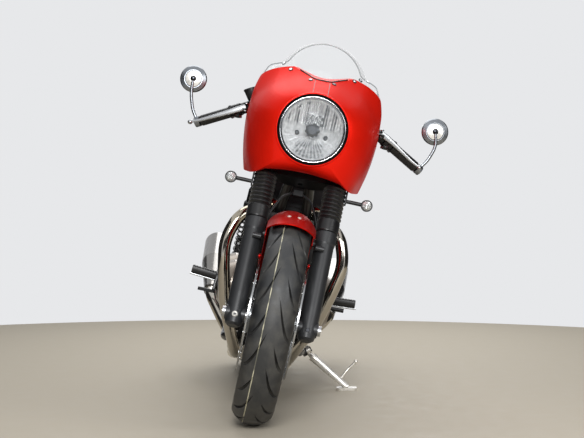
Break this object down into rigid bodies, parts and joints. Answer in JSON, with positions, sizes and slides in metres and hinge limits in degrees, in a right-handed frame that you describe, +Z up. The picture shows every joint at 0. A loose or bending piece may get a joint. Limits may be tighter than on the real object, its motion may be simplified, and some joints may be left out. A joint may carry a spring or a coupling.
{
  "type": "cafe racer motorcycle",
  "caption": "Cafe racer motorcycle with round lamp in a bullet fairing, clear screen, clip-on bars, spoked wheels and gaitered forks, leaning on its side stand",
  "frame": {"origin": "middle of the bounding box at floor level, with the machine leaning on its side stand", "axes": "front of the machine towards -Y, its left side and its lean towards +X, +Z up"},
  "size_m": [0.8468, 2.0399, 1.1346],
  "materials": {
    "tyre_rubber": "satin",
    "wheel_metal": "satin",
    "disc_steel": "brushed",
    "black_metal": "satin",
    "fork_metal": "satin",
    "black_rubber": "matt",
    "red_paint": "gloss",
    "frame_paint": "gloss",
    "engine_silver": "satin",
    "engine_black": "satin",
    "chrome": "polished",
    "stainless": "polished",
    "black_plastic": "matt",
    "clear_plastic": "clear",
    "lens_glass": "clear",
    "amber_red_lens": "gloss",
    "seat_cover": "grained",
    "silver_alloy": "satin",
    "caliper_black": "satin",
    "cable_sheath": "satin"
  },
  "bodies": {
    "chassis": {"headstock_frame": "frame_paint", "frame_cradle_left": "frame_paint", "frame_cradle_right": "frame_paint", "seat_frame": "frame_paint", "swingarm": "frame_paint", "rear_axle": "stainless", "rear_shocks": "black_metal", "crankcase": "engine_silver", "cylinder_block": "engine_black", "cylinder_head": "engine_black", "engine_covers": "engine_silver", "intake_bodies": "black_plastic", "radiator": "black_metal", "exhaust_headers": "chrome", "silencers": "stainless", "fuel_tank": "red_paint", "seat": "seat_cover", "seat_cowl": "red_paint", "side_panels": "black_plastic", "rear_mudguard": "black_plastic", "rear_lamps": "amber_red_lens", "drive_chain": "disc_steel", "chain_guard": "black_metal", "rear_caliper": "caliper_black", "footrests": "silver_alloy"},
    "steering": {"lower_yoke": "black_metal", "upper_yoke": "black_metal", "fork_stanchions": "chrome", "fork_gaiters": "black_rubber", "fork_lowers": "fork_metal", "front_axle": "stainless", "front_calipers": "caliper_black", "front_mudguard": "red_paint", "clip_on_bars": "black_metal", "grips": "black_rubber", "hand_controls": "silver_alloy", "mirrors": "chrome", "fairing": "red_paint", "windscreen": "clear_plastic", "headlamp_shell": "chrome", "headlamp_lens": "lens_glass", "lamp_brackets": "black_metal", "instruments": "black_plastic", "front_indicators": "black_plastic", "brake_hoses": "cable_sheath"},
    "front_wheel_body": {"front_tyre": "tyre_rubber", "front_wheel": "wheel_metal", "front_brake_discs": "disc_steel"},
    "rear_wheel_body": {"rear_tyre": "tyre_rubber", "rear_wheel": "wheel_metal", "rear_brake_disc": "disc_steel", "rear_sprocket": "disc_steel"},
    "stand": {"side_stand": "silver_alloy"},
    "cap": {"filler_cap": "chrome"}
  },
  "joints": [
    {"name": "steering", "type": "hinge", "parent": "chassis", "child": "steering", "pos_m": [-0.02536, -0.46961, 0.80147], "axis": [0.1997, 0.3859, 0.9007], "range_deg": [-30.3, 31.7]},
    {"name": "front_wheel_spin", "type": "hinge", "parent": "steering", "child": "front_wheel_body", "pos_m": [-0.13797, -0.72001, 0.29531], "axis": [0.9772, -0.0113, -0.2118], "continuous": true},
    {"name": "rear_wheel_spin", "type": "hinge", "parent": "chassis", "child": "rear_wheel_body", "pos_m": [-0.135, 0.69499, 0.30694], "axis": [0.9763, 0, -0.2164], "continuous": true},
    {"name": "side_stand_fold", "type": "hinge", "parent": "chassis", "child": "stand", "pos_m": [-0.00898, 0.05499, 0.13151], "axis": [0.8797, 0.22, 0.4216], "range_deg": [0, 87.9]},
    {"name": "filler_cap_lift", "type": "hinge", "parent": "chassis", "child": "cap", "pos_m": [0.0124, -0.25101, 0.9718], "axis": [0.9763, 0, -0.2164], "range_deg": [0, 95]}
  ]
}
